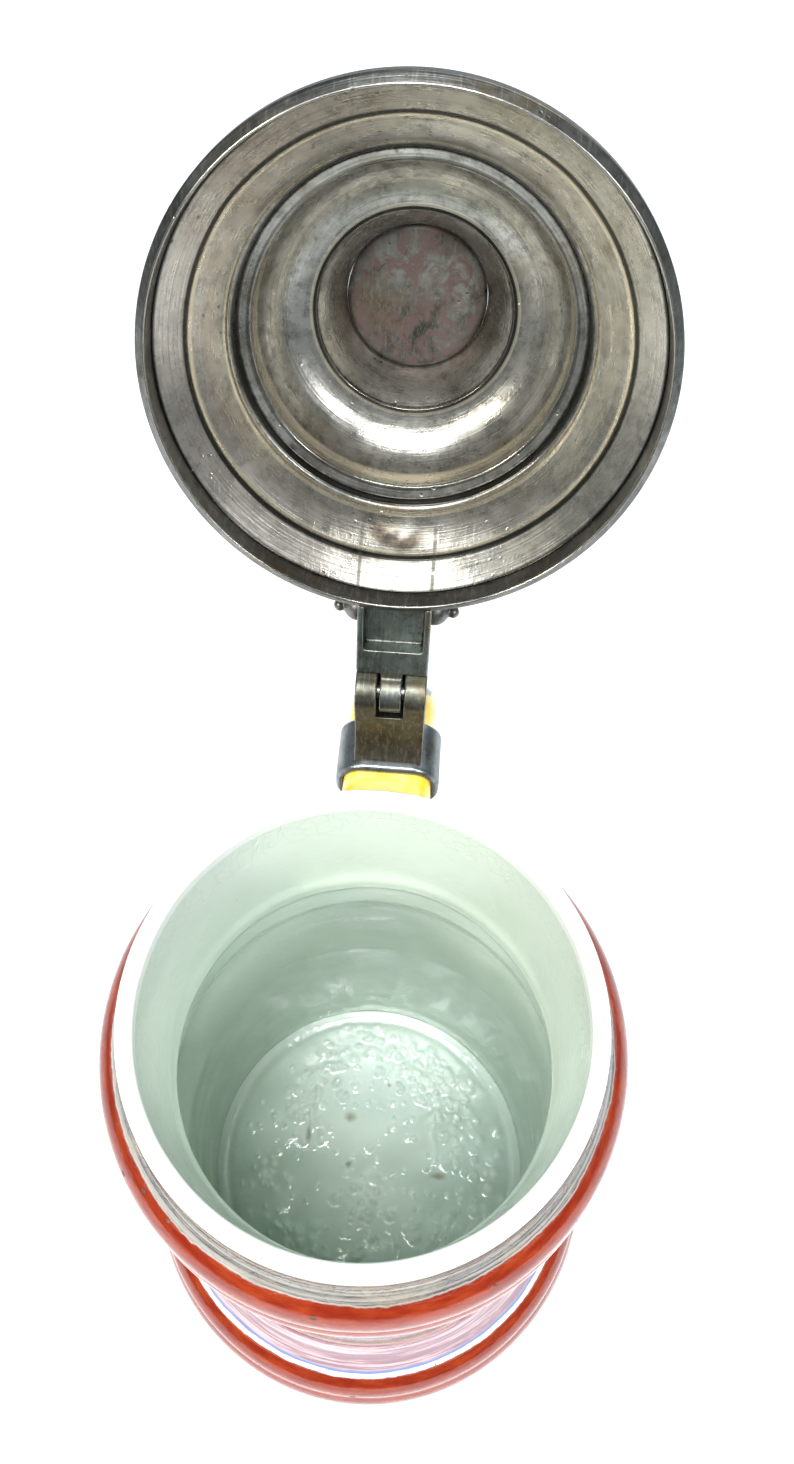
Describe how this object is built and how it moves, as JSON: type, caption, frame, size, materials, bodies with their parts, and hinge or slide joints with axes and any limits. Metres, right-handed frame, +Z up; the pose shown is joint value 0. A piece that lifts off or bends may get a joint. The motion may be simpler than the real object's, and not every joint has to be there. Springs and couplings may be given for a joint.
{
  "type": "beer stein",
  "caption": "Porcelain beer stein with a flared foot, banded rim, side handle and a domed pewter lid that closes on a hinge over the handle.",
  "frame": {"origin": "centre of the standing ring under the foot, on the mug's axis", "axes": "+Z up along the mug's axis, +Y towards the handle and hinge, +X along the hinge pin"},
  "size_m": [0.1146, 0.2041, 0.2488],
  "materials": {
    "porcelain_glaze": "clear glaze over white porcelain, painted bands outside",
    "relief_porcelain": "glazed relief",
    "handle_glaze": "yellow glaze",
    "dark_pewter": "cast pewter with a dark patina",
    "lid_pewter": "turned pewter with a grey-brown patina",
    "disc_pewter": "pewter with a reddish dark patina",
    "pin_steel": "drawn wire"
  },
  "bodies": {
    "stein": {"mug_body": "porcelain_glaze", "lithophane_panel": "relief_porcelain", "handle": "handle_glaze", "handle_collar": "dark_pewter", "hinge_post": "dark_pewter", "hinge_pin": "pin_steel", "pin_plug_left": "dark_pewter", "pin_plug_right": "dark_pewter"},
    "lid": {"lid_ring": "dark_pewter", "lid_dome": "lid_pewter", "top_disc": "disc_pewter", "finial": "lid_pewter", "lid_shank": "dark_pewter", "thumblift": "dark_pewter"}
  },
  "joints": [
    {"name": "lid_hinge", "type": "hinge", "parent": "stein", "child": "lid", "pos_m": [0, 0.0636, 0.14835], "axis": [1, 0, 0], "range_deg": [0, 112]}
  ]
}
